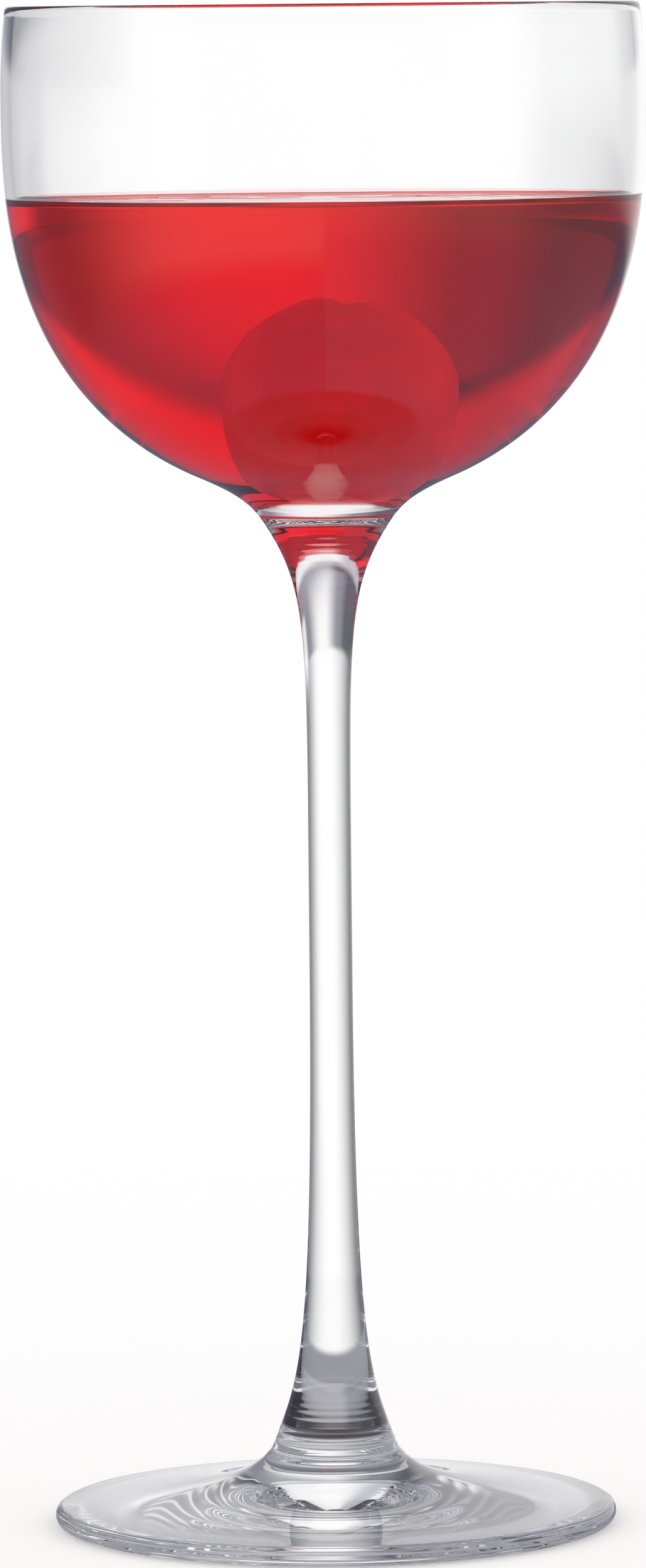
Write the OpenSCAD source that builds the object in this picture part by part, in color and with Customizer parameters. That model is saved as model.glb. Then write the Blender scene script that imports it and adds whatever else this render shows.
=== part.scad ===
// Stemmed cocktail glass with a small deep bowl, shown with its drink and a cherry.
// Millimetres, +Z up. The origin is on the table, under the middle of the foot.
// Every piece is turned about its own upright axis from an outline of [radius, height] points.

/* [Bowl] */
// Widest outside diameter of the bowl
bowl_d = 70; // [62:0.5:78]
// Height from the bottom of the bowl's curve to its widest plane
bowl_depth = 44; // [38:0.5:52]
// Height of the lip above the widest plane
lip_h = 10; // [6:0.5:14]
// How far the rim is drawn in from the widest radius
lip_tuck = 0.55; // [0.1:0.05:1.5]
// Thickness of the wall
wall = 1.15; // [0.8:0.05:1.8]
// Extra thickness of the glass under the drink
floor_t = 0.9; // [0.6:0.1:2.5]
// Diameter at which the bowl's curve turns down into the neck
heel_d = 28.6; // [22:0.2:34]
// Height of the neck from its seam with the stem to the bottom of the bowl's curve
neck_h = 1.9; // [1.2:0.1:3]

/* [Stem] */
// Length of the stem between its two seams
stem_len = 101.6; // [80:0.2:125]
// Diameter of the drawn waist
waist_d = 4.7; // [4:0.1:7]
// Length of the straight waist
waist_len = 16; // [8:0.5:24]
// Length of the flare from the waist up to the bowl
upper_flare_len = 34; // [26:0.5:42]
// Diameter of the seam under the bowl
neck_d = 14.2; // [11:0.1:16]
// Diameter of the seam on the foot
collar_d = 13.6; // [11:0.1:17]

/* [Foot] */
// Diameter of the foot
foot_d = 61.5; // [54:0.5:70]
// Height of the foot's seam with the stem above the table
foot_h = 8.5; // [6.5:0.1:11]
// Thickness of the foot's rounded edge
edge_t = 2.2; // [1.6:0.1:3]
// Width of the flat ring that the glass stands on
ring_w = 2; // [1:0.1:3.5]
// Height of the shallow hollow under the foot
hollow_h = 1.4; // [0.6:0.1:2.2]

/* [Drink] */
// Depth of the drink's surface below the rim
fill_drop = 21.2; // [19:0.1:27]
// Height that the drink climbs up the wall
meniscus_h = 0.6; // [0.4:0.1:2]
// Width of the curved edge of the drink
meniscus_w = 3; // [2:0.1:4.5]

/* [Cherry] */
// Width of the cherry
cherry_d = 19.7; // [15:0.1:22]
// Height of the cherry over its shoulders
cherry_h = 24; // [15:0.1:26]
// Depth of the dimple that the stalk left
dimple_depth = 1.4; // [0.6:0.1:2.6]
// Width of the dimple
dimple_d = 3.6; // [2.4:0.1:8]
// How far the cherry lies from the axis of the glass
cherry_shift = 1.2; // [0:0.1:2]

/* [Clearances] */
// Gap between the cherry and the floor of the bowl
seat_gap = 0.4; // [0.3:0.05:0.8]
// Gap between the cherry and the drink round it
wet_gap = 0.2; // [0.1:0.05:0.25]

/* [Hidden] */
$fn = 120;

// Exponent of the bowl's curve: 1 gives an ellipse and a smaller share a fuller bowl
fullness_share = 0.76;
// Handles of each curve, as shares of the way from its first point to its last, in radius and in height
lower_flare_shares = [[0.6, 0.14], [1, 0.16]];
upper_flare_shares = [[0, 0.67], [0.03, 0.8]];
neck_shares = [[0.2, 0.44], [0.48, 0.67]];
foot_top_shares = [[0.56, 0.19], [0.9, 0.36]];
meniscus_shares = [[0.15, 0.6], [0.4, 1]];
// Height of the cherry's widest plane, as a share of the cherry's height
widest_share = 0.65;
// Segments of one curve
curve_steps = 16;

// Heights above the table
neck_z = foot_h + stem_len;
pole_z = neck_z + neck_h;
shoulder_z = pole_z + bowl_depth;
rim_z = shoulder_z + lip_h;
floor_z = pole_z + floor_t;
level_z = rim_z - fill_drop;
contact_z = level_z + meniscus_h;
cherry_z = floor_z + seat_gap + cherry_h * widest_share;

// Radii and depths
bowl_r = bowl_d / 2;
inner_r = bowl_r - wall;
inner_depth = bowl_depth - floor_t;
lip_round = wall / 2;
lip_z = rim_z - lip_round;
edge_round = edge_t / 2;
bead_r = foot_d / 2 - edge_round;

// Where the bowl's curve meets the neck, and where the drink ends on the wall, as angles on that curve
heel_angle = acos(heel_d / bowl_d);
contact_angle = asin(pow((shoulder_z - contact_z) / inner_depth, 1 / fullness_share));
contact_point = bowl_point(inner_r, inner_depth, contact_angle);

// A curve leaves out its first point, which is the last point of what comes before it

function mix(a, b, share) = a + (b - a) * share;

function spot(a, b, shares) = [mix(a[0], b[0], shares[0]), mix(a[1], b[1], shares[1])];

function reverse(points) = [for (i = [len(points) - 1 : -1 : 0]) points[i]];

function bezier(a, b, c, d, t) =
    a * pow(1 - t, 3) + b * 3 * t * pow(1 - t, 2) + c * 3 * t * t * (1 - t) + d * pow(t, 3);

// A smooth curve between two points, with its handles given as shares of the box between them
function curve(a, b, shares) = [
    for (i = [1 : curve_steps])
        bezier(a, spot(a, b, shares[0]), spot(a, b, shares[1]), b, i / curve_steps)
];

function arc(centre, radius, from, to) = [
    for (i = [1 : curve_steps])
        let (angle = mix(from, to, i / curve_steps))
        centre + radius * [cos(angle), sin(angle)]
];

// The bowl's curve runs from its widest plane, at 0 degrees, down to the axis, at 90 degrees
function bowl_point(radius, depth, angle) =
    [radius * cos(angle), shoulder_z - depth * pow(sin(angle), fullness_share)];

function bowl_curve(radius, depth, from, to) = [
    for (i = [1 : curve_steps])
        bowl_point(radius, depth, mix(from, to, i / curve_steps))
];

// The lip draws in gently from the widest plane, at a share of 0, to the rim, at 1
function lip_curve(radius, from, to) = [
    for (i = [1 : curve_steps])
        let (share = mix(from, to, i / curve_steps))
        [radius - lip_tuck * pow(share, 2), mix(shoulder_z, lip_z, share)]
];

// The wall that the drink covers, shared by the bowl and the drink
function wetted_wall() = bowl_curve(inner_r, inner_depth, contact_angle, 90);

// A cherry is widest above its middle, with a dimple in its top
function cherry_outline(gap) = [
    for (i = [0 : 2 * curve_steps])
        let (
            angle = mix(-90, 90, i / (2 * curve_steps)),
            radius = (cherry_d / 2 + gap) * cos(angle),
            half_h = cherry_h * (angle > 0 ? 1 - widest_share : widest_share),
            dip = angle > 0 ? dimple_depth * exp(-pow(2 * radius / dimple_d, 2)) : 0
        )
        [radius, (half_h + gap) * sin(angle) - dip]
];

module turned(outline) {
    rotate_extrude() polygon(outline);
}

// The foot is a thin disc that rises to the stem, with a rounded edge and a slightly hollow underside
module foot() {
    collar = [collar_d / 2, foot_h];
    ring_r = bead_r - ring_w;
    underside = [
        for (i = [0 : curve_steps])
            let (share = i / curve_steps)
            [ring_r * share, hollow_h * (1 - pow(share, 2))]
    ];
    color("lightcyan", 0.6)
    turned(concat(
        underside,
        [[bead_r, 0]],
        arc([bead_r, edge_round], edge_round, -90, 90),
        curve([bead_r, edge_t], collar, foot_top_shares),
        [[0, foot_h]]
    ));
}

// The stem is drawn thin at its waist and swells in long flares towards the foot and the bowl
module stem() {
    collar = [collar_d / 2, foot_h];
    waist_top = [waist_d / 2, neck_z - upper_flare_len];
    waist_foot = waist_top - [0, waist_len];
    color("lightcyan", 0.6)
    turned(concat(
        [[0, foot_h], collar],
        curve(collar, waist_foot, lower_flare_shares),
        [waist_top],
        curve(waist_top, [neck_d / 2, neck_z], upper_flare_shares),
        [[0, neck_z]]
    ));
}

// The bowl is thin at its rounded rim and thickens towards the neck
module bowl() {
    neck = [neck_d / 2, neck_z];
    heel = bowl_point(bowl_r, bowl_depth, heel_angle);
    lip_centre = [bowl_r - lip_tuck - lip_round, lip_z];
    color("lightcyan", 0.6)
    turned(concat(
        [[0, neck_z], neck],
        curve(neck, heel, neck_shares),
        bowl_curve(bowl_r, bowl_depth, heel_angle, 0),
        lip_curve(bowl_r, 0, 1),
        arc(lip_centre, lip_round, 0, 180),
        lip_curve(inner_r, 1, 0),
        bowl_curve(inner_r, inner_depth, 0, contact_angle),
        wetted_wall()
    ));
}

// The drink fills the bowl's own inner curve, climbs the wall a little and closes round the cherry
module drink() {
    color("crimson", 0.7)
    difference() {
        turned(concat(
            reverse(wetted_wall()),
            [contact_point],
            curve(contact_point, [contact_point[0] - meniscus_w, level_z], meniscus_shares),
            [[0, level_z]]
        ));
        cherry_body(wet_gap);
    }
}

module cherry_body(gap) {
    translate([cherry_shift, 0, cherry_z])
    turned(cherry_outline(gap));
}

module cherry() {
    color("darkred")
    cherry_body(0);
}

foot();
stem();
bowl();
drink();
cherry();
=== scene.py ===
"""Looks of a small stemmed cocktail glass with its red drink and a cherry, in a white studio."""

import math

import bpy
from mathutils import Matrix, Vector, noise


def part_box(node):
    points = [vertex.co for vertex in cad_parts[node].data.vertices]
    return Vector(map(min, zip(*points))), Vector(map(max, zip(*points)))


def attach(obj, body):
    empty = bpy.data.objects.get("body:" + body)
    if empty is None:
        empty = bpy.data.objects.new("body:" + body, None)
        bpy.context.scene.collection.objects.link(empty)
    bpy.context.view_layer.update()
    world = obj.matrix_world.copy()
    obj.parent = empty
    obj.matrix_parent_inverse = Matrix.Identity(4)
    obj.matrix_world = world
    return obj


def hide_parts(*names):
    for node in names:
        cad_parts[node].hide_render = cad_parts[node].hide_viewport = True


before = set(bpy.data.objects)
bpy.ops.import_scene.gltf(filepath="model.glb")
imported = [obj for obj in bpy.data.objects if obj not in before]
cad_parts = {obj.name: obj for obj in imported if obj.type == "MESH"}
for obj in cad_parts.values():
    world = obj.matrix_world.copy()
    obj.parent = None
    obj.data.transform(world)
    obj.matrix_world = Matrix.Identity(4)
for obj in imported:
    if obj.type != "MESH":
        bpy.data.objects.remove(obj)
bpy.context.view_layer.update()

bl_info = {
    "name": "Stemmed cocktail glass",
    "version": (1, 0, 0),
    "blender": (4, 5, 0),
    "location": "View3D > Sidebar > Cocktail glass",
    "description": "Builds a small stemmed cocktail glass with its drink and a cherry",
    "category": "Add Mesh",
}

MM = 0.001

# Corners of the CAD pieces, in metres
_, FOOT_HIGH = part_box("foot")
_, STEM_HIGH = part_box("stem")
_, BOWL_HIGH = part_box("bowl")
DRINK_LOW, DRINK_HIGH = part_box("drink")
CHERRY_LOW, CHERRY_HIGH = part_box("cherry")

QUARTER = math.pi / 2
WHITE = (1.0, 1.0, 1.0, 1.0)

# Exponent of the bowl's curve: 1 gives an ellipse and a smaller share a fuller bowl
FULLNESS_SHARE = 0.76
# Handles of each curve, as shares of the way from its first point to its last
LOWER_FLARE_SHARES = ((0.6, 0.14), (1.0, 0.16))
UPPER_FLARE_SHARES = ((0.0, 0.67), (0.03, 0.8))
NECK_SHARES = ((0.2, 0.44), (0.48, 0.67))
FOOT_TOP_SHARES = ((0.56, 0.19), (0.9, 0.36))
MENISCUS_SHARES = ((0.15, 0.6), (0.4, 1.0))
STRAIGHT_SHARES = ((0, 1 / 3), (0, 2 / 3))
# Height of the cherry's widest plane, as a share of the cherry's height
WIDEST_SHARE = 0.65

# Points along one curve, along a fine curve such as a neck, and round a small arc
CURVE_STEPS = 72
FINE_STEPS = 110
ARC_STEPS = 14
EDGE_STEPS = 84

# Faint rings that turning in the fire leaves round the edge of the foot
EDGE_RIPPLES = 7

# Points of a turned piece that lie closer than this become one
WELD = 0.0005 * MM
# Corners sharper than this stay sharp
SHARP_ANGLE = math.radians(35)

# How often each noise of a material repeats in a metre, and how high the fine bumps are
GLASS_WAVES = 60.0
SKIN_PATCHES = 160.0
SKIN_PORES = 900.0
BUMP_HEIGHT = 0.1 * MM
# How far red, green and blue light spread under the cherry's skin
SKIN_GLOW = (3.0 * MM, 0.6 * MM, 0.4 * MM)

# The cherry's groove faces the camera, its left lobe stands higher near the dimple, and its
# dents are a few millimetres apart
SUTURE_TURN = math.radians(-86)
SUTURE_WIDTH = 1.1 * MM
LOBE_STEP = 0.4 * MM
LOBE_REACH = 3.5 * MM
DENT_SIZE = 5.0 * MM
# Rounds in which the cherry's half axes settle
CHERRY_ROUNDS = 20

# Sides of the round floor, and how far it lies under the foot
FLOOR_SIDES = 96
FLOOR_GAP = 0.1 * MM

# Light runs a long way inside the thick neck and foot before it leaves them
LIGHT_BOUNCES = 48

# Slow waves on the drink's surface, which stand in for the streaks in the photograph
WAVE_LENGTH = 9 * MM
WAVE_HEIGHT = 0.35 * MM

# Materials of a turned piece, as numbers on its outline and by name
SHELL, WET, SEAM = 0, 1, 2
FINISHES = ("Shell", "Wetted", "Seam")

# Sockets that share their name with others, by number: the whole numbers of a comparison, and the
# colours of a mix with its result
WHOLE_A, WHOLE_B = 2, 3
COLOUR_A, COLOUR_B, MIXED_COLOUR = 6, 7, 2


def length(name, description, millimetres):
    """A length property, given in millimetres and kept in metres."""
    return bpy.props.FloatProperty(
        name=name, description=description, default=millimetres * MM,
        min=0.0, precision=5, subtype="DISTANCE", unit="LENGTH",
    )


def tint(name, description, hex_colour):
    """A colour property, given as an sRGB hex value."""
    return bpy.props.FloatVectorProperty(
        name=name, description=description, default=linear(hex_colour)[:3],
        size=3, min=0.0, max=1.0, subtype="COLOR",
    )


def linear(hex_colour):
    """Linear RGBA of an sRGB hex colour."""
    shares = [int(hex_colour[i:i + 2], 16) / 255 for i in (0, 2, 4)]
    return tuple(
        c / 12.92 if c <= 0.04045 else ((c + 0.055) / 1.055) ** 2.4 for c in shares
    ) + (1.0,)


class GlassSizes(bpy.types.PropertyGroup):
    """Sizes of the blown, drawn and pressed glass"""

    wall: length("Wall", "Thickness of the bowl's wall", 1.15)
    lip_h: length("Lip height", "Height of the lip above the widest plane", 10)
    lip_tuck: length("Lip tuck", "How far the rim is drawn in", 0.55)
    heel_d: length("Heel", "Diameter at which the bowl turns into the neck", 28.6)
    neck_h: length("Neck height", "From the seam to the bottom of the bowl's curve", 1.9)
    neck_d: length("Neck", "Diameter of the seam under the bowl", 14.2)
    waist_d: length("Waist", "Diameter of the drawn waist", 4.7)
    waist_len: length("Waist length", "Length of the straight waist", 16)
    upper_flare_len: length("Upper flare", "Length of the flare up to the bowl", 34)
    collar_d: length("Collar", "Diameter of the seam on the foot", 13.6)
    edge_t: length("Foot edge", "Thickness of the foot's rounded edge", 2.2)
    ring_w: length("Foot ring", "Width of the flat ring under the foot", 2)
    hollow_h: length("Foot hollow", "Height of the hollow under the foot", 1.4)
    ripple: length("Neck ripple", "Depth of the fine rings at the seam under the bowl", 0.014)
    root_ripple: length("Root ripple", "Depth of the fine rings at the seam on the foot", 0.03)
    edge_ripple: length("Edge ripple", "Depth of the fine rings round the foot's edge", 0.012)
    ripple_pitch: length("Ripple pitch", "Distance between two fine rings", 0.95)
    ripple_reach: length("Ripple reach", "How far the fine rings reach from a seam", 2.4)
    segments: bpy.props.IntProperty(
        name="Segments", description="Faces round the glass", default=192, min=24,
    )
    ior: bpy.props.FloatProperty(
        name="Glass IOR", description="Refractive index of soda-lime glass", default=1.52,
    )


class DrinkSettings(bpy.types.PropertyGroup):
    """Size and colour of the drink"""

    surface_drop: length("Surface drop", "Level surface below the top of the CAD drink", 0.7)
    meniscus_h: length("Meniscus height", "How far the drink climbs the wall", 0.6)
    meniscus_w: length("Meniscus width", "Width of the curved edge of the drink", 1.8)
    overlap: length("Wall overlap", "How far the drink's side lies inside the glass", 0.04)
    ior: bpy.props.FloatProperty(
        name="Drink IOR", description="Refractive index of a sweet cocktail", default=1.35,
    )
    dye: tint("Dye", "Light that the drink lets through", "FD0038")
    strength: bpy.props.FloatProperty(
        name="Dye strength", description="Absorption per metre", default=125.0,
    )


class CherrySettings(bpy.types.PropertyGroup):
    """Shape and colour of the cherry"""

    dimple_depth: length("Dimple depth", "Depth of the dimple that the stalk left", 1.4)
    dimple_d: length("Dimple width", "Width of the dimple", 3.6)
    suture: length("Suture", "Depth of the shallow groove down one side", 0.25)
    lobe: length("Lobe", "How much higher the left lobe stands at the dimple", 0.6)
    wrinkle: length("Wrinkle", "Height of the soft dents in the skin", 0.12)
    skin: tint("Skin", "Colour of the syrup-soaked skin", "F6161F")
    deep: tint("Deep skin", "Colour of the darker patches", "E4101B")


class StudioSettings(bpy.types.PropertyGroup):
    """Camera and surroundings"""

    distance: length("Camera distance", "From the camera to the glass's axis", 980)
    aside: length("Camera aside", "How far the camera stands to the left", 0.68)
    tilt: bpy.props.FloatProperty(
        name="Tilt", description="How far the camera looks down",
        default=math.radians(4.947), subtype="ANGLE",
    )
    roll: bpy.props.FloatProperty(
        name="Roll", description="How far the camera is turned about its view",
        default=math.radians(-0.547), subtype="ANGLE",
    )
    lens: bpy.props.FloatProperty(
        name="Lens", description="Focal length in millimetres", default=207.06,
    )
    floor_d: length("Floor", "Diameter of the floor round the glass", 600)


class CocktailGlass(bpy.types.PropertyGroup):
    """All that can be set"""

    glass: bpy.props.PointerProperty(type=GlassSizes)
    drink: bpy.props.PointerProperty(type=DrinkSettings)
    cherry: bpy.props.PointerProperty(type=CherrySettings)
    studio: bpy.props.PointerProperty(type=StudioSettings)


# Outlines are lists of (radius, height, material) points. A curve leaves out its first point.

def mix(a, b, share):
    return a + (b - a) * share


def spot(a, b, shares):
    return tuple(mix(a[i], b[i], shares[i]) for i in (0, 1))


def curve(a, b, shares, finish=SHELL, steps=CURVE_STEPS):
    """A smooth curve between two points, its handles given as shares of the box between them."""
    c, d = spot(a, b, shares[0]), spot(a, b, shares[1])
    points = []
    for step in range(1, steps + 1):
        t = step / steps
        points.append(tuple(
            a[i] * (1 - t) ** 3 + c[i] * 3 * t * (1 - t) ** 2
            + d[i] * 3 * t * t * (1 - t) + b[i] * t ** 3
            for i in (0, 1)
        ) + (finish,))
    return points


def arc(centre, radius, start, end, finish=SHELL):
    points = []
    for step in range(1, ARC_STEPS + 1):
        angle = math.radians(mix(start, end, step / ARC_STEPS))
        points.append((
            centre[0] + radius * math.cos(angle), centre[1] + radius * math.sin(angle), finish,
        ))
    return points


class BowlCurve:
    """The rounded curve of the bowl, from its widest plane at 0 to the axis at a quarter turn."""

    def __init__(self, radius, depth, shoulder_z):
        self.radius = radius
        self.depth = depth
        self.shoulder_z = shoulder_z

    def point(self, angle):
        return (
            self.radius * math.cos(angle),
            self.shoulder_z - self.depth * max(0.0, math.sin(angle)) ** FULLNESS_SHARE,
        )

    def angle_at(self, height):
        share = (self.shoulder_z - height) / self.depth
        return math.asin(min(1.0, max(0.0, share)) ** (1 / FULLNESS_SHARE))

    def points(self, start, end, finish=SHELL):
        found = []
        for step in range(1, CURVE_STEPS + 1):
            angle = mix(start, end, step / CURVE_STEPS)
            radius, height = self.point(angle)
            at_axis = step == CURVE_STEPS and end == QUARTER
            found.append((0.0 if at_axis else radius, height, finish))
        return found


class Profile:
    """The heights and curves that the turned pieces share, from the CAD boxes and the sizes."""

    def __init__(self, settings):
        glass = settings.glass
        self.foot_z = FOOT_HIGH.z
        self.neck_z = STEM_HIGH.z
        self.rim_z = BOWL_HIGH.z
        self.floor_z = DRINK_LOW.z
        self.level_z = DRINK_HIGH.z - settings.drink.surface_drop
        self.contact_z = self.level_z + settings.drink.meniscus_h
        self.shoulder_z = self.rim_z - glass.lip_h
        self.bowl_r = BOWL_HIGH.x
        pole_z = self.neck_z + glass.neck_h
        self.outer = BowlCurve(self.bowl_r, self.shoulder_z - pole_z, self.shoulder_z)
        self.inner = BowlCurve(
            self.bowl_r - glass.wall, self.shoulder_z - self.floor_z, self.shoulder_z,
        )
        self.contact_angle = self.inner.angle_at(self.contact_z)


def rippled(points, seam_z, depth, glass):
    """The same points with fine rings near a fused seam."""
    found = []
    for radius, height, finish in points:
        away = height - seam_z
        ring = math.cos(2 * math.pi * away / glass.ripple_pitch)
        fade = math.exp(-(away / glass.ripple_reach) ** 2)
        found.append((radius + depth * (ring - 1) * fade, height, finish))
    return found


def add_node(tree, kind, settings=None, inputs=None):
    """Adds a node, sets its settings, and sets or links its inputs."""
    node = tree.nodes.new(kind)
    for name, value in (settings or {}).items():
        setattr(node, name, value)
    for name, value in (inputs or {}).items():
        socket = node.inputs[name]
        if isinstance(value, bpy.types.NodeSocket):
            tree.links.new(value, socket)
        else:
            socket.default_value = value
    return node


def maths_in(tree):
    """A function that adds a sum to the tree and gives its result."""
    def maths(operation, a, b=0.0):
        return add_node(
            tree, "ShaderNodeMath", {"operation": operation}, {0: a, 1: b},
        ).outputs[0]
    return maths


def new_material(name):
    """An empty node material, with its output."""
    material = bpy.data.materials.new(name)
    material.use_nodes = True
    material.node_tree.nodes.clear()
    output = add_node(material.node_tree, "ShaderNodeOutputMaterial")
    return material, material.node_tree, output


def lathe_tree():
    """Geometry nodes that turn an outline about the Z axis and give each band its material."""
    name = "Turned on the axis"
    if name in bpy.data.node_groups:
        return bpy.data.node_groups[name]
    tree = bpy.data.node_groups.new(name, "GeometryNodeTree")
    face = tree.interface
    face.new_socket("Outline", in_out="INPUT", socket_type="NodeSocketGeometry")
    face.new_socket("Segments", in_out="INPUT", socket_type="NodeSocketInt")
    face.new_socket("Weld", in_out="INPUT", socket_type="NodeSocketFloat")
    for label in FINISHES:
        face.new_socket(label, in_out="INPUT", socket_type="NodeSocketMaterial")
    face.new_socket("Piece", in_out="OUTPUT", socket_type="NodeSocketGeometry")
    given = add_node(tree, "NodeGroupInput").outputs
    count = add_node(
        tree, "GeometryNodeAttributeDomainSize", {}, {"Geometry": given["Outline"]},
    ).outputs["Point Count"]
    maths = maths_in(tree)

    columns = maths("ADD", given["Segments"], 1.0)
    grid = add_node(
        tree, "GeometryNodeMeshGrid", {}, {"Vertices X": columns, "Vertices Y": count},
    ).outputs["Mesh"]
    index = add_node(tree, "GeometryNodeInputIndex").outputs[0]
    row = maths("MODULO", index, count)
    column = maths("FLOOR", maths("DIVIDE", maths("SUBTRACT", index, row), count))
    turn = maths("MULTIPLY", maths("DIVIDE", column, given["Segments"]), 2 * math.pi)
    place = add_node(tree, "GeometryNodeInputPosition").outputs[0]
    outline_point = add_node(
        tree, "GeometryNodeSampleIndex", {"data_type": "FLOAT_VECTOR", "clamp": True},
        {"Geometry": given["Outline"], "Value": place, "Index": row},
    ).outputs[0]
    parts = add_node(tree, "ShaderNodeSeparateXYZ", {}, {0: outline_point}).outputs
    turned = add_node(tree, "ShaderNodeCombineXYZ", {}, {
        "X": maths("MULTIPLY", parts["X"], maths("COSINE", turn)),
        "Y": maths("MULTIPLY", parts["X"], maths("SINE", turn)),
        "Z": parts["Z"],
    }).outputs[0]
    piece = add_node(
        tree, "GeometryNodeSetPosition", {}, {"Geometry": grid, "Position": turned},
    ).outputs[0]

    band = maths("ADD", maths("MODULO", index, maths("SUBTRACT", count, 1.0)), 1.0)
    finish = add_node(
        tree, "GeometryNodeInputNamedAttribute", {"data_type": "INT"}, {"Name": "finish"},
    ).outputs["Attribute"]
    band_finish = add_node(
        tree, "GeometryNodeSampleIndex", {"data_type": "INT", "clamp": True},
        {"Geometry": given["Outline"], "Value": finish, "Index": band},
    ).outputs[0]
    piece = add_node(
        tree, "GeometryNodeStoreNamedAttribute", {"data_type": "INT", "domain": "FACE"},
        {"Geometry": piece, "Name": "finish", "Value": band_finish},
    ).outputs[0]
    piece = add_node(
        tree, "GeometryNodeMergeByDistance", {}, {"Geometry": piece, "Distance": given["Weld"]},
    ).outputs[0]
    piece = add_node(
        tree, "GeometryNodeSetShadeSmooth", {}, {"Geometry": piece},
    ).outputs[0]
    piece = add_node(
        tree, "GeometryNodeRealizeInstances", {}, {"Geometry": piece},
    ).outputs[0]
    for number, label in enumerate(FINISHES):
        chosen = add_node(
            tree, "FunctionNodeCompare", {"data_type": "INT", "operation": "EQUAL"},
            {WHOLE_A: finish, WHOLE_B: number},
        ).outputs[0]
        piece = add_node(
            tree, "GeometryNodeSetMaterial", {},
            {"Geometry": piece, "Selection": chosen, "Material": given[label]},
        ).outputs[0]
    add_node(tree, "NodeGroupOutput", {}, {"Piece": piece})
    return tree


def turned_piece(name, outline, settings, materials):
    """A closed piece turned from an outline, as a plain mesh whose faces point outwards."""
    tree = lathe_tree()
    mesh = bpy.data.meshes.new(name + "_outline")
    edges = [(i, i + 1) for i in range(len(outline) - 1)]
    mesh.from_pydata([(radius, 0.0, height) for radius, height, _ in outline], edges, [])
    marks = mesh.attributes.new("finish", "INT", "POINT")
    marks.data.foreach_set("value", [finish for _, _, finish in outline])
    maker = bpy.data.objects.new(name + "_outline", mesh)
    bpy.context.scene.collection.objects.link(maker)
    modifier = maker.modifiers.new("Turn", "NODES")
    values = {"Segments": settings.glass.segments, "Weld": WELD}
    values.update(zip(FINISHES, materials))
    modifier.node_group = tree
    for item in tree.interface.items_tree:
        if item.in_out == "INPUT" and item.name in values:
            modifier[item.identifier] = values[item.name]
    graph = bpy.context.evaluated_depsgraph_get()
    made = bpy.data.meshes.new_from_object(
        maker.evaluated_get(graph), preserve_all_data_layers=True, depsgraph=graph,
    )
    bpy.data.objects.remove(maker)
    made.name = name
    piece = bpy.data.objects.new(name, made)
    bpy.context.scene.collection.objects.link(piece)
    face_outwards(made)
    made.set_sharp_from_angle(angle=SHARP_ANGLE)
    return piece


def face_outwards(mesh):
    """Turns the faces round if they enclose a negative volume."""
    mesh.calc_loop_triangles()
    volume = 0.0
    for triangle in mesh.loop_triangles:
        a, b, c = (mesh.vertices[i].co for i in triangle.vertices)
        volume += a.dot(b.cross(c))
    if volume < 0:
        mesh.flip_normals()


def show_on(piece, body, node):
    """The piece moves with the body and stands for the CAD node."""
    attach(piece, body)
    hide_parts(node)


def clear_glass(name, ior):
    """Soda-lime glass, blown and fire-polished: clear, bright and smooth, with faint waves."""
    material, tree, output = new_material(name)
    place = add_node(tree, "ShaderNodeTexCoord").outputs["Object"]
    waves = add_node(
        tree, "ShaderNodeTexNoise", {},
        {"Vector": place, "Scale": GLASS_WAVES, "Detail": 1.0, "Roughness": 0.4},
    ).outputs["Fac"]
    bump = add_node(
        tree, "ShaderNodeBump", {}, {"Height": waves, "Strength": 0.06, "Distance": BUMP_HEIGHT},
    ).outputs[0]
    shader = add_node(tree, "ShaderNodeBsdfPrincipled", {}, {
        "Base Color": WHITE,
        "Roughness": 0.0,
        "IOR": ior,
        "Transmission Weight": 1.0,
        "Normal": bump,
    })
    tree.links.new(shader.outputs[0], output.inputs["Surface"])
    return material


def fused_seam(name):
    """Glass fused to glass while hot: nothing shows inside the joint."""
    material, tree, output = new_material(name)
    shader = add_node(tree, "ShaderNodeBsdfTransparent", {}, {"Color": WHITE})
    tree.links.new(shader.outputs[0], output.inputs["Surface"])
    return material


def shared(name, make):
    """The material of that name, made the first time it is asked for."""
    return bpy.data.materials.get(name) or make(name)


def glass_finishes(settings):
    """The materials of a glass piece: its shell, the part under the drink and its seams.

    Where the drink touches the glass, light is bent by the ratio of the two.
    """
    ratio = settings.glass.ior / settings.drink.ior
    return (
        shared("Soda-lime glass", lambda name: clear_glass(name, settings.glass.ior)),
        shared("Soda-lime glass under drink", lambda name: clear_glass(name, ratio)),
        shared("Fused seam", fused_seam),
    )


def waves_from_above(tree):
    """Slow waves on the drink, so that its edge-on surface mirrors the studio in soft streaks.

    A drink at rest has no waves: they stand in for the streaks in the photograph. They are left
    out where light meets the surface from inside, where they would blur the drink.
    """
    waves = add_node(tree, "ShaderNodeTexNoise", {}, {
        "Vector": add_node(tree, "ShaderNodeTexCoord").outputs["Object"],
        "Scale": 1.0 / WAVE_LENGTH,
        "Detail": 1.0,
    }).outputs["Fac"]
    inside = add_node(tree, "ShaderNodeNewGeometry").outputs["Backfacing"]
    strength = add_node(
        tree, "ShaderNodeMath", {"operation": "SUBTRACT"}, {0: 1.0, 1: inside},
    ).outputs[0]
    return add_node(tree, "ShaderNodeBump", {}, {
        "Height": waves, "Strength": strength, "Distance": WAVE_HEIGHT,
    }).outputs[0]


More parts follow.
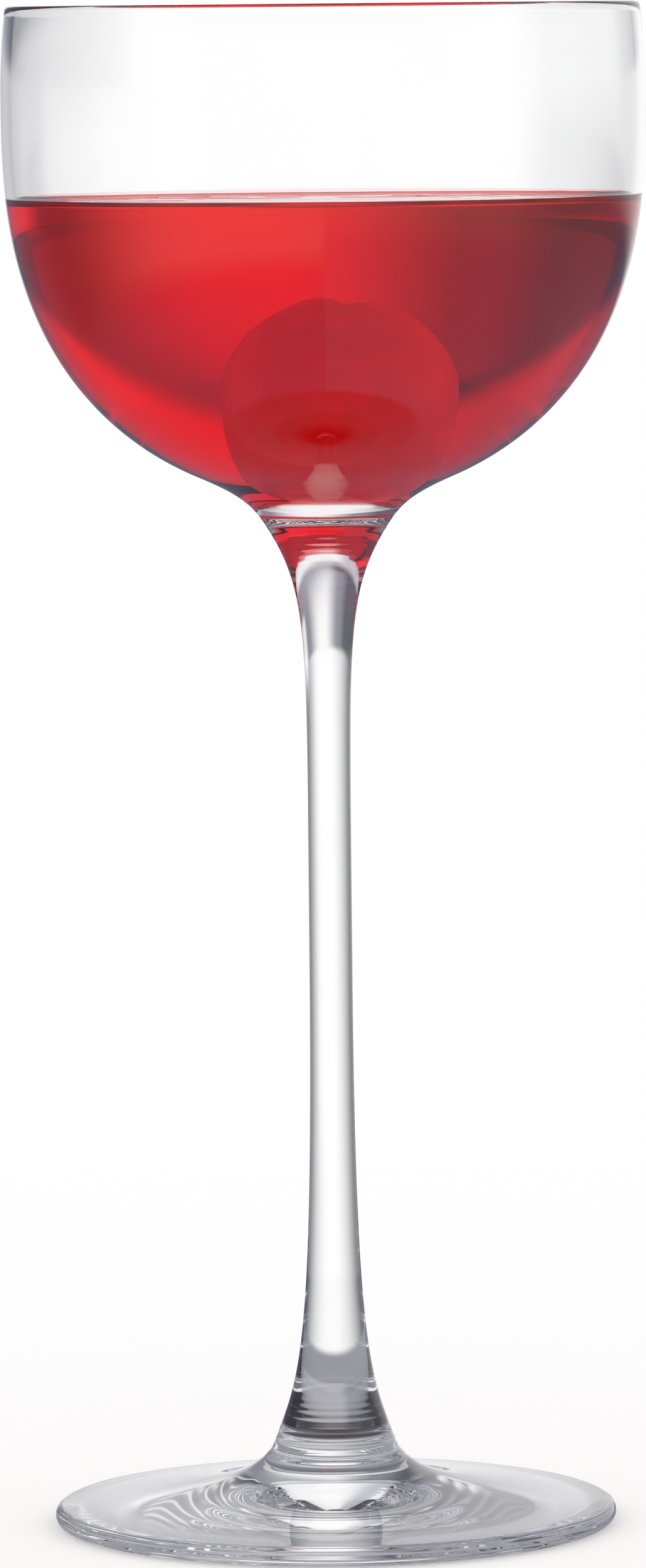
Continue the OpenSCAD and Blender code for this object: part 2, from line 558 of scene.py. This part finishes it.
def red_drink(name, settings, ior, wavy):
    """A clear red cocktail: the deeper the drink, the deeper its red."""
    material, tree, output = new_material(name)
    shader = add_node(tree, "ShaderNodeBsdfPrincipled", {}, {
        "Base Color": WHITE,
        "Roughness": 0.0,
        "IOR": ior,
        "Transmission Weight": 1.0,
    })
    dye = add_node(tree, "ShaderNodeVolumeAbsorption", {}, {
        "Color": tuple(settings.drink.dye) + (1.0,),
        "Density": settings.drink.strength,
    })
    if wavy:
        tree.links.new(waves_from_above(tree), shader.inputs["Normal"])
    tree.links.new(shader.outputs[0], output.inputs["Surface"])
    tree.links.new(dye.outputs[0], output.inputs["Volume"])
    return material


def cherry_skin(settings):
    """The skin of a cherry soaked in syrup: thin, wet and bright red, with darker patches."""
    material, tree, output = new_material("Syrup-soaked cherry skin")
    place = add_node(tree, "ShaderNodeTexCoord").outputs["Object"]
    patches = add_node(
        tree, "ShaderNodeTexNoise", {},
        {"Vector": place, "Scale": SKIN_PATCHES, "Detail": 4.0, "Roughness": 0.55},
    ).outputs["Fac"]
    spread = add_node(tree, "ShaderNodeMapRange", {}, {
        "Value": patches, "From Min": 0.35, "From Max": 0.65,
    }).outputs["Result"]
    colour = add_node(tree, "ShaderNodeMix", {"data_type": "RGBA"}, {
        "Factor": spread,
        COLOUR_A: tuple(settings.cherry.deep) + (1.0,),
        COLOUR_B: tuple(settings.cherry.skin) + (1.0,),
    }).outputs[MIXED_COLOUR]
    pores = add_node(
        tree, "ShaderNodeTexNoise", {},
        {"Vector": place, "Scale": SKIN_PORES, "Detail": 3.0, "Roughness": 0.6},
    ).outputs["Fac"]
    bump = add_node(
        tree, "ShaderNodeBump", {}, {"Height": pores, "Strength": 0.25, "Distance": BUMP_HEIGHT},
    ).outputs[0]
    shader = add_node(tree, "ShaderNodeBsdfPrincipled", {}, {
        "Base Color": colour,
        "Roughness": 0.32,
        "IOR": 1.42,
        "Subsurface Weight": 0.25,
        "Subsurface Radius": SKIN_GLOW,
        "Subsurface Scale": 1.0,
        "Normal": bump,
    })
    tree.links.new(shader.outputs[0], output.inputs["Surface"])
    return material


def foot_outline(settings):
    """The foot: a shallow hollow, a flat ring, a rounded edge and a rise to the stem."""
    glass = settings.glass
    profile = Profile(settings)
    edge_round = glass.edge_t / 2
    bead_r = FOOT_HIGH.x - edge_round
    ring_r = bead_r - glass.ring_w
    collar = (glass.collar_d / 2, profile.foot_z)
    points = []
    for step in range(CURVE_STEPS + 1):
        share = step / CURVE_STEPS
        points.append((ring_r * share, glass.hollow_h * (1 - share ** 2), SHELL))
    points.append((bead_r, 0.0, SHELL))
    for step in range(1, EDGE_STEPS + 1):
        share = step / EDGE_STEPS
        angle = mix(-QUARTER, QUARTER, share)
        dent = glass.edge_ripple * (1 - math.cos(2 * math.pi * EDGE_RIPPLES * share)) / 2
        reach = edge_round - dent
        points.append((
            bead_r + reach * math.cos(angle), edge_round + reach * math.sin(angle), SHELL,
        ))
    rise = curve((bead_r, glass.edge_t), collar, FOOT_TOP_SHARES, SHELL, FINE_STEPS)
    points += rippled(rise, profile.foot_z, glass.root_ripple, glass)
    points.append((0.0, profile.foot_z, SEAM))
    return points


def stem_outline(settings):
    """The stem: drawn thin at its waist, flaring to the foot and to the bowl."""
    glass = settings.glass
    profile = Profile(settings)
    collar = (glass.collar_d / 2, profile.foot_z)
    waist_top = (glass.waist_d / 2, profile.neck_z - glass.upper_flare_len)
    waist_foot = (glass.waist_d / 2, waist_top[1] - glass.waist_len)
    neck = (glass.neck_d / 2, profile.neck_z)
    lower = curve(collar, waist_foot, LOWER_FLARE_SHARES, SHELL, FINE_STEPS)
    waist = curve(waist_foot, waist_top, STRAIGHT_SHARES, SHELL, ARC_STEPS)
    upper = curve(waist_top, neck, UPPER_FLARE_SHARES, SHELL, FINE_STEPS)
    points = [(0.0, profile.foot_z, SEAM), collar + (SEAM,)]
    points += rippled(lower, profile.foot_z, glass.root_ripple, glass)
    points += waist
    points += rippled(upper, profile.neck_z, glass.ripple, glass)
    points.append((0.0, profile.neck_z, SEAM))
    return points


def bowl_outline(settings):
    """The bowl: a short neck, a rounded thin wall and a fire-polished lip, wetted by the drink."""
    glass = settings.glass
    profile = Profile(settings)
    outer, inner = profile.outer, profile.inner
    neck = (glass.neck_d / 2, profile.neck_z)
    heel_angle = math.acos(glass.heel_d / 2 / profile.bowl_r)
    lip_round = glass.wall / 2
    lip_z = profile.rim_z - lip_round

    def lip(radius, start, end):
        found = []
        for step in range(1, ARC_STEPS + 1):
            share = mix(start, end, step / ARC_STEPS)
            height = mix(profile.shoulder_z, lip_z, share)
            found.append((radius - glass.lip_tuck * share ** 2, height, SHELL))
        return found

    lip_centre = (profile.bowl_r - glass.lip_tuck - lip_round, lip_z)
    turn = curve(neck, outer.point(heel_angle), NECK_SHARES, SHELL, FINE_STEPS)
    points = [(0.0, profile.neck_z, SEAM), neck + (SEAM,)]
    points += rippled(turn, profile.neck_z, glass.ripple, glass)
    points += outer.points(heel_angle, 0.0)
    points += lip(outer.radius, 0, 1)
    points += arc(lip_centre, lip_round, 0, 180)
    points += lip(inner.radius, 1, 0)
    points += inner.points(0.0, profile.contact_angle)
    points += inner.points(profile.contact_angle, QUARTER, WET)
    return points


def drink_outline(settings):
    """The drink: the bowl's own inner curve, a climbing edge and a level surface."""
    profile = Profile(settings)
    inner = profile.inner
    overlap = settings.drink.overlap
    side = BowlCurve(inner.radius + overlap, inner.depth + overlap, inner.shoulder_z)
    contact_angle = side.angle_at(profile.contact_z)
    contact = side.point(contact_angle)
    wetted = side.points(contact_angle, QUARTER, WET)
    points = [(radius, height, WET) for radius, height, _ in reversed(wetted)]
    points.append(contact + (WET,))
    level = (contact[0] - settings.drink.meniscus_w, profile.level_z)
    points += curve(contact, level, MENISCUS_SHARES, SHELL, ARC_STEPS)
    for step in range(1, ARC_STEPS + 1):
        points.append((level[0] * (1 - step / ARC_STEPS), profile.level_z, SHELL))
    return points


def cherry_outline(settings):
    """The cherry: widest above its middle, with a dimple in its top, about its own axis."""
    cherry = settings.cherry
    radius = (CHERRY_HIGH.x - CHERRY_LOW.x) / 2
    dimple_r = cherry.dimple_d / 2
    tall = CHERRY_HIGH.z - CHERRY_LOW.z

    def dip(out):
        return cherry.dimple_depth * math.exp(-(out / dimple_r) ** 2)

    def top_at(upper):
        """Highest point of the upper part when its half axis is that long."""
        angles = [math.radians(step) for step in range(91)]
        return max(upper * math.sin(a) - dip(radius * math.cos(a)) for a in angles)

    # Both half axes are shares of the full height, which the dimple cuts a little short
    full = tall
    for _ in range(CHERRY_ROUNDS):
        full += tall - WIDEST_SHARE * full - top_at((1 - WIDEST_SHARE) * full)
    points = []
    steps = 2 * CURVE_STEPS
    for step in range(steps + 1):
        angle = math.radians(mix(-90, 90, step / steps))
        out = 0.0 if step in (0, steps) else radius * math.cos(angle)
        if angle > 0:
            height = (1 - WIDEST_SHARE) * full * math.sin(angle) - dip(out)
        else:
            height = WIDEST_SHARE * full * math.sin(angle)
        points.append((out, height, SHELL))
    middle_x = (CHERRY_LOW.x + CHERRY_HIGH.x) / 2
    return points, Vector((middle_x, 0.0, CHERRY_LOW.z + WIDEST_SHARE * full))


def shape_cherry(piece, centre, settings):
    """Gives the turned cherry its suture and its soft dents, and puts it in its place."""
    cherry = settings.cherry
    for vertex in piece.data.vertices:
        spot_in = vertex.co.copy()
        around = math.atan2(spot_in.y, spot_in.x) - SUTURE_TURN
        around = math.atan2(math.sin(around), math.cos(around))
        flat = math.hypot(spot_in.x, spot_in.y)
        groove = cherry.suture * math.exp(-(around * flat / SUTURE_WIDTH) ** 2)
        dent = cherry.wrinkle * (noise.noise(spot_in / DENT_SIZE) - 1)
        out = spot_in.normalized()
        lift = 0.0
        if spot_in.z > 0:
            side = (1 - math.tanh(spot_in.x / LOBE_STEP)) / 2
            lift = cherry.lobe * side * math.exp(-(flat / LOBE_REACH) ** 2)
        vertex.co = centre + spot_in - out * (groove - dent) + Vector((0.0, 0.0, lift))


class GLASS_OT_foot(bpy.types.Operator):
    """Makes the pressed foot"""

    bl_idname = "cocktail_glass.foot"
    bl_label = "Foot"

    def execute(self, context):
        settings = context.scene.cocktail_glass
        outline = foot_outline(settings)
        piece = turned_piece("foot_glass", outline, settings, glass_finishes(settings))
        show_on(piece, "glass", "foot")
        return {"FINISHED"}


class GLASS_OT_stem(bpy.types.Operator):
    """Makes the drawn stem"""

    bl_idname = "cocktail_glass.stem"
    bl_label = "Stem"

    def execute(self, context):
        settings = context.scene.cocktail_glass
        outline = stem_outline(settings)
        piece = turned_piece("stem_glass", outline, settings, glass_finishes(settings))
        show_on(piece, "glass", "stem")
        return {"FINISHED"}


class GLASS_OT_bowl(bpy.types.Operator):
    """Makes the blown bowl"""

    bl_idname = "cocktail_glass.bowl"
    bl_label = "Bowl"

    def execute(self, context):
        settings = context.scene.cocktail_glass
        outline = bowl_outline(settings)
        piece = turned_piece("bowl_glass", outline, settings, glass_finishes(settings))
        show_on(piece, "glass", "bowl")
        return {"FINISHED"}


class GLASS_OT_drink(bpy.types.Operator):
    """Pours the drink"""

    bl_idname = "cocktail_glass.drink"
    bl_label = "Drink"

    def execute(self, context):
        settings = context.scene.cocktail_glass
        surface = red_drink("Red cocktail", settings, settings.drink.ior, True)
        side = red_drink("Red cocktail against glass", settings, 1.0, False)
        outline = drink_outline(settings)
        piece = turned_piece("red_drink", outline, settings, (surface, side, side))
        show_on(piece, "glass", "drink")
        return {"FINISHED"}


class GLASS_OT_cherry(bpy.types.Operator):
    """Drops in the cherry"""

    bl_idname = "cocktail_glass.cherry"
    bl_label = "Cherry"

    def execute(self, context):
        settings = context.scene.cocktail_glass
        skin = cherry_skin(settings)
        outline, centre = cherry_outline(settings)
        piece = turned_piece("cocktail_cherry", outline, settings, (skin, skin, skin))
        shape_cherry(piece, centre, settings)
        show_on(piece, "garnish", "cherry")
        return {"FINISHED"}


class GLASS_OT_studio(bpy.types.Operator):
    """Sets up the floor, the surroundings and the camera"""

    bl_idname = "cocktail_glass.studio"
    bl_label = "Studio"

    def execute(self, context):
        settings = context.scene.cocktail_glass
        make_floor(settings)
        make_surroundings(context.scene)
        place_camera(context.scene, settings)
        context.scene.view_settings.view_transform = "Standard"
        context.scene.cycles.max_bounces = LIGHT_BOUNCES
        context.scene.cycles.transmission_bounces = LIGHT_BOUNCES
        context.scene.cycles.glossy_bounces = LIGHT_BOUNCES
        return {"FINISHED"}


def make_floor(settings):
    """A round of matt white paper under the glass, with painted shade and light where glass shows
    it.
    """
    radius = settings.studio.floor_d / 2
    turns = [2 * math.pi * i / FLOOR_SIDES for i in range(FLOOR_SIDES)]
    rim = [(radius * math.cos(turn), radius * math.sin(turn), -FLOOR_GAP) for turn in turns]
    mesh = bpy.data.meshes.new("studio_floor")
    mesh.from_pydata(rim, [], [list(range(FLOOR_SIDES))])
    floor = bpy.data.objects.new("studio_floor", mesh)
    bpy.context.scene.collection.objects.link(floor)
    mesh.materials.append(paper_with_painted_shade_and_light())


def fade_in(tree, value, start, end):
    """0 up to the start and 1 from the end on, with a soft change between."""
    return add_node(
        tree, "ShaderNodeMapRange", {"interpolation_type": "SMOOTHSTEP"},
        {"Value": value, "From Min": start, "From Max": end},
    ).outputs["Result"]


def laid_over(tree, under, over, covers):
    """The colour under a card, and the card's own colour where all its covers are 1."""
    maths = maths_in(tree)
    cover = covers[0]
    for other in covers[1:]:
        cover = maths("MULTIPLY", cover, other)
    return add_node(tree, "ShaderNodeMix", {"data_type": "RGBA"}, {
        "Factor": cover, COLOUR_A: under, COLOUR_B: over,
    }).outputs[MIXED_COLOUR]


def seen_in_glass(tree):
    """1 for what glass mirrors or shows through itself, and 0 for the light on matt things."""
    path = add_node(tree, "ShaderNodeLightPath").outputs
    maths = maths_in(tree)
    in_glass = maths("MAXIMUM", path["Is Glossy Ray"], path["Is Transmission Ray"])
    in_glass = maths("MULTIPLY", in_glass, maths("SUBTRACT", 1.0, path["Is Camera Ray"]))
    return maths("MULTIPLY", in_glass, maths("LESS_THAN", path["Diffuse Depth"], 0.5))


def shown_through(tree):
    """1 for what glass shows through itself, and 0 for what it only mirrors."""
    return add_node(tree, "ShaderNodeLightPath").outputs["Is Transmission Ray"]


# The paper as glass shows it, under the foot and beside it: (through the glass, mirrored). It is
# painted shade: darker there than the paper is, as a stand-in for the foot's shadow and the dark
# parts of the photograph's studio.
PAINTED_SHADE_UNDER_FOOT = ("26262E", "6C6C80")
PAINTED_SHADE_BESIDE_FOOT = ("84848E", "9A9AAC")
PAINTED_SHADE_EDGES = (6 * MM, 24 * MM)
# Behind the glass the paper shows through lighter, as if light from behind reached it
PAINTED_LIGHT_BEHIND_FOOT = "94949E"
PAINTED_LIGHT_EDGES = (8 * MM, 24 * MM)
# Past this radius the paper lets glass see the studio
OPEN_EDGES = (54 * MM, 62 * MM)


def paper_with_painted_shade_and_light():
    """Matt white paper with the glass's soft shadow, and painted shade and light as glass shows
    it.
    """
    material, tree, output = new_material("Matt white paper")
    place = add_node(tree, "ShaderNodeTexCoord").outputs["Object"]
    away = add_node(
        tree, "ShaderNodeVectorMath", {"operation": "LENGTH"}, {0: place},
    ).outputs["Value"]
    outside = fade_in(tree, away, *PAINTED_SHADE_EDGES)
    # Painted shade: as glass shows it, the paper is darker under the foot and beside it
    through, mirrored = (
        laid_over(tree, linear(under), linear(beside), [outside])
        for under, beside in zip(PAINTED_SHADE_UNDER_FOOT, PAINTED_SHADE_BESIDE_FOOT)
    )
    behind = add_node(tree, "ShaderNodeSeparateXYZ", {}, {0: place}).outputs["Y"]
    # Painted light: as glass shows it, the paper is lighter behind the glass
    through = laid_over(tree, through, linear(PAINTED_LIGHT_BEHIND_FOOT), [fade_in(tree, behind, *PAINTED_LIGHT_EDGES)])
    shade = laid_over(tree, mirrored, through, [shown_through(tree)])
    shaded = add_node(tree, "ShaderNodeEmission", {}, {"Color": shade}).outputs[0]
    opened = add_node(tree, "ShaderNodeBsdfTransparent").outputs[0]
    in_glass = add_node(tree, "ShaderNodeMixShader", {}, {
        0: fade_in(tree, away, *OPEN_EDGES), 1: shaded, 2: opened,
    }).outputs[0]
    paper = add_node(tree, "ShaderNodeBsdfDiffuse", {}, {"Color": WHITE}).outputs[0]
    shader = add_node(tree, "ShaderNodeMixShader", {}, {
        0: seen_in_glass(tree), 1: paper, 2: in_glass,
    })
    tree.links.new(shader.outputs[0], output.inputs["Surface"])
    return material


# The studio as glass shows it: soft-edged cards, each laid over those before it. Each edge is the
# pair of angles between which the card fades. Azimuths are in degrees from straight behind the
# glass, to the right, and heights in degrees above the horizon. Glass shows one list through
# itself and mirrors the other, which no real studio does: the cards were set against the
# photograph from its own camera, and from other sides they are only a stand-in.
TABLE = "F0F0F8"
THROUGH_CARDS = (
    # what it is, colour, left edge, right edge, lower edge, upper edge
    ("room", "5C5C64", None, None, (-28, -22), None),
    ("front on the right", "FFFFFF", (80, 105), None, (-34, -28), (14, 24)),
    ("front on the left", "FFFFFF", None, (-105, -80), (-34, -28), (14, 24)),
    ("side on the right", "6C6C76", (60, 75), (90, 110), (-24, -18), (10, 25)),
    ("lit sheet", "FFFFFF", (-60, 0), (5, 70), None, (22, 34)),
    ("dark surround above", "5C5C66", (-80, -70), (70, 75), (0, 1.2), (20, 36)),
    ("grey card behind", "90909A", (-30, -15), (60, 75), (0, 1.2), (20, 24)),
    ("bright strip", "FFFFFF", (-15, 5), (10, 35), (-10, -7), (15, 30)),
    ("upper backdrop", "A6A6B0", (-10, 20), (65, 85), (0, 28), (30, 40)),
    ("upper left", "4C4C56", (-60, -40), (-15, 0), (20, 24), (40, 50)),
    ("overhead", "FFFFFF", (-75, -45), (75, 95), (28, 40), None),
    ("dark above the front on the left", "26262C", None, (-120, -100), (8, 14), None),
    ("dark above the front on the right", "26262C", (100, 120), None, (8, 14), None),
    ("high side on the right", "FFFFFF", (40, 52), (95, 110), (-3, 1), (6, 10)),
)
MIRRORED_ROOM = "7C7C90"
MIRRORED_CARDS = (
    ("front on the left", "FFFFFF", None, (-130, -55), (-38, -22), None),
    ("front on the right", "FFFFFF", (30, 130), None, (-38, -16), None),
    ("right side low", "CECCEC", (-10, 110), None, None, (-28, -8)),
    ("left side low", "B0B0D8", None, (-100, -35), None, (-36, -22)),
    ("sheet behind", "FFFFFF", (-15, -5), (0, 100), (-8, -4), (22, 36)),
    ("high side on the right", "FFFFFF", (30, 50), (120, 140), (-4, 0), (8, 12)),
)
# The ceiling begins at a straight edge across, at this height for each metre behind the glass
CEILING_EDGE = (0.41, 0.62)
CEILING_HEIGHT = (17, 23)
# Beside and in front of the glass the ceiling's slope is taken over this depth at least
LEAST_DEPTH = 0.05
CEILING_CARDS = (
    # what it is, colour, left edge, right edge
    ("ceiling panel", "FFFFFF", (-40, -10), (75, 95)),
    ("left of the panel", "C8C8D2", (-90, -70), (-30, -5)),
)


def make_surroundings(scene):
    """White light all round, and the studio's cards in and through the glass."""
    world = bpy.data.worlds.new("Studio")
    scene.world = world
    world.use_nodes = True
    tree = world.node_tree
    tree.nodes.clear()
    maths = maths_in(tree)
    direction = add_node(tree, "ShaderNodeTexCoord").outputs["Generated"]
    parts = add_node(tree, "ShaderNodeSeparateXYZ", {}, {0: direction}).outputs
    azimuth = maths("DEGREES", maths("ARCTAN2", parts["X"], parts["Y"]))
    height = maths("DEGREES", maths("ARCSINE", parts["Z"]))

    def covers_between(value, first, last):
        """Covers that fade in over the first pair of values and out over the last pair."""
        covers = []
        if first:
            covers.append(fade_in(tree, value, *first))
        if last:
            covers.append(maths("SUBTRACT", 1.0, fade_in(tree, value, *last)))
        return covers

    def cards_over(room, cards):
        shown = linear(room)
        for _, card_colour, left, right, lower, upper in cards:
            covers = covers_between(azimuth, left, right) + covers_between(height, lower, upper)
            shown = laid_over(tree, shown, linear(card_colour), covers)
        return shown

    through = cards_over(TABLE, THROUGH_CARDS)
    slope = maths("DIVIDE", parts["Z"], maths("MAXIMUM", parts["Y"], LEAST_DEPTH))
    above = [fade_in(tree, slope, *CEILING_EDGE), fade_in(tree, height, *CEILING_HEIGHT)]
    for _, card_colour, left, right in CEILING_CARDS:
        covers = above + covers_between(azimuth, left, right)
        through = laid_over(tree, through, linear(card_colour), covers)
    mirrored = cards_over(MIRRORED_ROOM, MIRRORED_CARDS)
    shown = laid_over(tree, mirrored, through, [shown_through(tree)])
    shown = laid_over(tree, WHITE, shown, [seen_in_glass(tree)])
    background = add_node(tree, "ShaderNodeBackground", {}, {"Color": shown, "Strength": 1.0})
    add_node(tree, "ShaderNodeOutputWorld", {}, {"Surface": background.outputs[0]})


def place_camera(scene, settings):
    """The camera looks down a little from the rim's height, turned slightly about its view."""
    studio = settings.studio
    data = bpy.data.cameras.new("camera")
    data.lens = studio.lens
    data.sensor_width = 36.0
    data.clip_start = 0.01
    data.clip_end = 100.0
    camera = bpy.data.objects.new("camera", data)
    scene.collection.objects.link(camera)
    place = Matrix.Translation((-studio.aside, -studio.distance, BOWL_HIGH.z))
    tilt = Matrix.Rotation(QUARTER - studio.tilt, 4, "X")
    camera.matrix_world = place @ tilt @ Matrix.Rotation(studio.roll, 4, "Z")
    scene.camera = camera


class GLASS_PT_panel(bpy.types.Panel):
    """The glass's sizes and its pieces"""

    bl_label = "Cocktail glass"
    bl_space_type = "VIEW_3D"
    bl_region_type = "UI"
    bl_category = "Cocktail glass"

    def draw(self, context):
        settings = context.scene.cocktail_glass
        for title, group in (
            ("Glass", settings.glass), ("Drink", settings.drink),
            ("Cherry", settings.cherry), ("Studio", settings.studio),
        ):
            box = self.layout.box()
            box.label(text=title)
            for name in type(group).__annotations__:
                box.prop(group, name)
        for operator in OPERATORS:
            self.layout.operator(operator.bl_idname)


OPERATORS = (
    GLASS_OT_foot, GLASS_OT_stem, GLASS_OT_bowl, GLASS_OT_drink, GLASS_OT_cherry, GLASS_OT_studio,
)
CLASSES = (
    GlassSizes, DrinkSettings, CherrySettings, StudioSettings, CocktailGlass,
) + OPERATORS + (GLASS_PT_panel,)


def register():
    for made in CLASSES:
        bpy.utils.register_class(made)
    bpy.types.Scene.cocktail_glass = bpy.props.PointerProperty(type=CocktailGlass)


def unregister():
    del bpy.types.Scene.cocktail_glass
    for made in reversed(CLASSES):
        bpy.utils.unregister_class(made)


def main():
    register()
    for operator in OPERATORS:
        family, name = operator.bl_idname.split(".")
        getattr(getattr(bpy.ops, family), name)()


if __name__ == "__main__":
    main()
